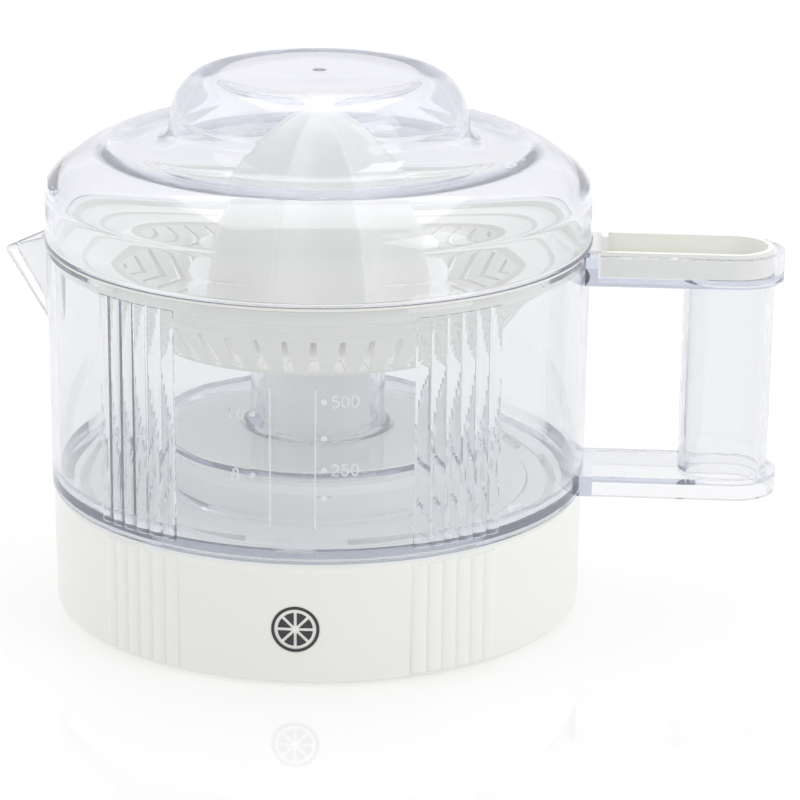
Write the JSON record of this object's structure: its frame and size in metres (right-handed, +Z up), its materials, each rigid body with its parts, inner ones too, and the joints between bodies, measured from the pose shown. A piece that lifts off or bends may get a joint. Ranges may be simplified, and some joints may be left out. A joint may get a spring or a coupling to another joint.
{
  "type": "citrus press juicer",
  "caption": "Electric citrus press: clear lidded jug with handle and spout on a white motor base, with a slotted strainer and a fluted cone that spins and presses down.",
  "frame": {"origin": "on the floor plane under the foot ring, on the vertical axis of the cone and drive shaft", "axes": "+Z up along the drive shaft, +X towards the handle, -X towards the spout, -Y towards the front with the measuring scale"},
  "size_m": [0.2091, 0.1468, 0.146],
  "materials": {
    "clear_cover": "clear moulded plastic",
    "clear_jug": "clear moulded plastic",
    "white_plastic": "moulded plastic with a soft gloss",
    "white_food_plastic": "smooth moulded plastic",
    "steel": "bright zinc-plated steel",
    "laminations": "stacked sheet steel",
    "copper": "enamelled winding wire",
    "acetal": "natural acetal",
    "rubber": "matt rubber",
    "bronze": "sintered bronze",
    "black_plastic": "matt black plastic",
    "red_plastic": "glossy red plastic"
  },
  "bodies": {
    "base": {"base_housing": "white_plastic", "base_bottom": "white_plastic", "foot_ring": "rubber", "base_screws": "steel", "cord_gland": "rubber", "motor_can": "steel", "motor_cap": "steel", "motor_stator": "laminations", "motor_coil": "copper", "idler_pin": "steel", "gearbox_plate": "steel", "gearbox_screws": "steel", "motor_screws": "steel", "shaft_bush": "bronze", "shaft_seal": "rubber", "micro_switch": "black_plastic", "terminal_block": "acetal"},
    "lock_ring_body": {"lock_ring": "white_plastic"},
    "jug_body": {"jug": "clear_jug"},
    "strainer_body": {"strainer": "white_food_plastic"},
    "cover_body": {"cover": "clear_cover"},
    "washer_body": {"thrust_washer": "acetal"},
    "cone_body": {"reamer_cone": "white_food_plastic"},
    "rotor_body": {"motor_rotor": "steel", "motor_pinion": "acetal"},
    "idler_body": {"idler_gear": "acetal"},
    "output_body": {"output_gear": "acetal", "press_spring": "steel"},
    "shaft_body": {"drive_shaft": "steel"},
    "plunger_body": {"switch_plunger": "red_plastic"}
  },
  "joints": [
    {"name": "jug_turn", "type": "hinge", "parent": "base", "child": "lock_ring_body", "pos_m": [0, 0, 0.0305], "axis": [0, 0, 1], "range_deg": [-20, 0]},
    {"name": "jug_lift", "type": "slide", "parent": "lock_ring_body", "child": "jug_body", "axis": [0, 0, 1], "range_m": [0, 0.09]},
    {"name": "strainer_lift", "type": "slide", "parent": "jug_body", "child": "strainer_body", "axis": [0, 0, 1], "range_m": [0, 0.06]},
    {"name": "cover_lift", "type": "slide", "parent": "strainer_body", "child": "cover_body", "axis": [0, 0, 1], "range_m": [0, 0.06]},
    {"name": "cone_press", "type": "slide", "parent": "strainer_body", "child": "washer_body", "axis": [0, 0, 1], "range_m": [-0.0025, 0]},
    {"name": "cone_spin", "type": "hinge", "parent": "washer_body", "child": "cone_body", "pos_m": [0, 0, 0.09], "axis": [0, 0, 1], "continuous": true},
    {"name": "rotor_spin", "type": "hinge", "parent": "base", "child": "rotor_body", "pos_m": [-0.0336, 0, 0.02], "axis": [0, 0, 1], "continuous": true},
    {"name": "idler_spin", "type": "hinge", "parent": "base", "child": "idler_body", "pos_m": [-0.0168, 0, 0.035], "axis": [0, 0, 1], "continuous": true},
    {"name": "output_spin", "type": "hinge", "parent": "base", "child": "output_body", "pos_m": [0, 0, 0.038], "axis": [0, 0, 1], "continuous": true},
    {"name": "shaft_press", "type": "slide", "parent": "output_body", "child": "shaft_body", "axis": [0, 0, 1], "range_m": [-0.0025, 0], "stiffness_N_per_m": 1500, "springref_m": 0.002, "deforming": ["press_spring"]},
    {"name": "switch_press", "type": "slide", "parent": "base", "child": "plunger_body", "axis": [0, 0, 1], "range_m": [-0.0025, 0]}
  ],
  "couplings": [
    {"joint": "idler_spin", "follows": "rotor_spin", "ratio": -0.4},
    {"joint": "output_spin", "follows": "rotor_spin", "ratio": 0.16},
    {"joint": "cone_spin", "follows": "rotor_spin", "ratio": 0.16},
    {"joint": "shaft_press", "follows": "cone_press", "ratio": 1},
    {"joint": "switch_press", "follows": "cone_press", "ratio": 1}
  ]
}
